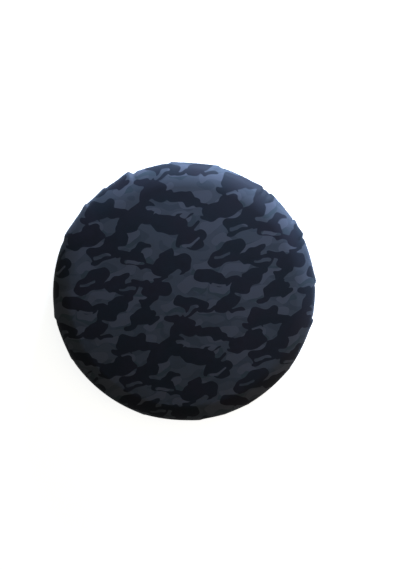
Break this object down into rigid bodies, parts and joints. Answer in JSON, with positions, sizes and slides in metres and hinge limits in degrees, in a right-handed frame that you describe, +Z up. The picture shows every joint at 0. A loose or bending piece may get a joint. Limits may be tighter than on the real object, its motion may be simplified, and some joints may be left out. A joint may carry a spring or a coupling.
{
  "type": "spa cover",
  "caption": "Round air-filled hot tub lid in a taut printed cloth jacket with a gathered elastic hem, an underside air valve and side-release hold-down straps.",
  "frame": {"origin": "middle of the flat underside, at the height that rests on the tub's rim", "axes": "+Z up out of the printed top; +Y is the side of the top that faces the light; -Y is the side with the air valve underneath"},
  "size_m": [1.9624, 1.9624, 0.2454],
  "materials": {
    "printed_cloth": "satin knit with a soft sheen",
    "binding": "matt woven tape",
    "elastic": "matt",
    "label": "satin",
    "vinyl": "soft satin vinyl",
    "valve_plastic": "satin",
    "valve_rubber": "matt",
    "pin": "satin",
    "webbing": "matt woven",
    "buckle": "fine grain"
  },
  "bodies": {
    "lid": {"top_panel": "printed_cloth", "side_panel_1": "printed_cloth", "side_panel_2": "printed_cloth", "side_panel_3": "printed_cloth", "side_panel_4": "printed_cloth", "rim_seam": "binding", "side_join_tapes": "binding", "hem_casing": "binding", "hem_elastic": "elastic", "care_label": "label", "air_top_sheet": "vinyl", "air_bottom_sheet": "vinyl", "air_rim_tape": "vinyl", "tie_ring_inner": "vinyl", "tie_ring_middle": "vinyl", "tie_ring_outer": "vinyl", "valve_base": "valve_plastic", "check_flap": "valve_rubber", "cap_hinge_pin": "pin", "strap_anchor_1": "webbing", "strap_anchor_2": "webbing", "strap_anchor_3": "webbing", "strap_anchor_4": "webbing"},
    "valve_cap": {"valve_cap": "valve_plastic", "cap_seal": "valve_rubber"},
    "strap_1": {"strap_1": "webbing"},
    "plug_1": {"strap_plug_1": "buckle"},
    "strap_2": {"strap_2": "webbing"},
    "plug_2": {"strap_plug_2": "buckle"},
    "strap_3": {"strap_3": "webbing"},
    "plug_3": {"strap_plug_3": "buckle"},
    "strap_4": {"strap_4": "webbing"},
    "plug_4": {"strap_plug_4": "buckle"}
  },
  "joints": [
    {"name": "valve_cap_hinge", "type": "hinge", "parent": "lid", "child": "valve_cap", "pos_m": [0, -0.531, 0.0094], "axis": [-1, 0, 0], "range_deg": [0, 150]},
    {"name": "strap_1_stitching", "type": "hinge", "parent": "lid", "child": "strap_1", "pos_m": [0.69438, 0.69438, 0.088], "axis": [0.7071, -0.7071, 0], "range_deg": [-10, 110]},
    {"name": "plug_1_bar", "type": "hinge", "parent": "strap_1", "child": "plug_1", "pos_m": [0.69593, 0.69593, 0.052], "axis": [0.7071, -0.7071, 0], "range_deg": [-10, 80]},
    {"name": "strap_2_stitching", "type": "hinge", "parent": "lid", "child": "strap_2", "pos_m": [-0.69438, 0.69438, 0.088], "axis": [0.7071, 0.7071, 0], "range_deg": [-10, 110]},
    {"name": "plug_2_bar", "type": "hinge", "parent": "strap_2", "child": "plug_2", "pos_m": [-0.69593, 0.69593, 0.052], "axis": [0.7071, 0.7071, 0], "range_deg": [-10, 80]},
    {"name": "strap_3_stitching", "type": "hinge", "parent": "lid", "child": "strap_3", "pos_m": [-0.69438, -0.69438, 0.088], "axis": [-0.7071, 0.7071, 0], "range_deg": [-10, 110]},
    {"name": "plug_3_bar", "type": "hinge", "parent": "strap_3", "child": "plug_3", "pos_m": [-0.69593, -0.69593, 0.052], "axis": [-0.7071, 0.7071, 0], "range_deg": [-10, 80]},
    {"name": "strap_4_stitching", "type": "hinge", "parent": "lid", "child": "strap_4", "pos_m": [0.69438, -0.69438, 0.088], "axis": [-0.7071, -0.7071, 0], "range_deg": [-10, 110]},
    {"name": "plug_4_bar", "type": "hinge", "parent": "strap_4", "child": "plug_4", "pos_m": [0.69593, -0.69593, 0.052], "axis": [-0.7071, -0.7071, 0], "range_deg": [-10, 80]}
  ]
}
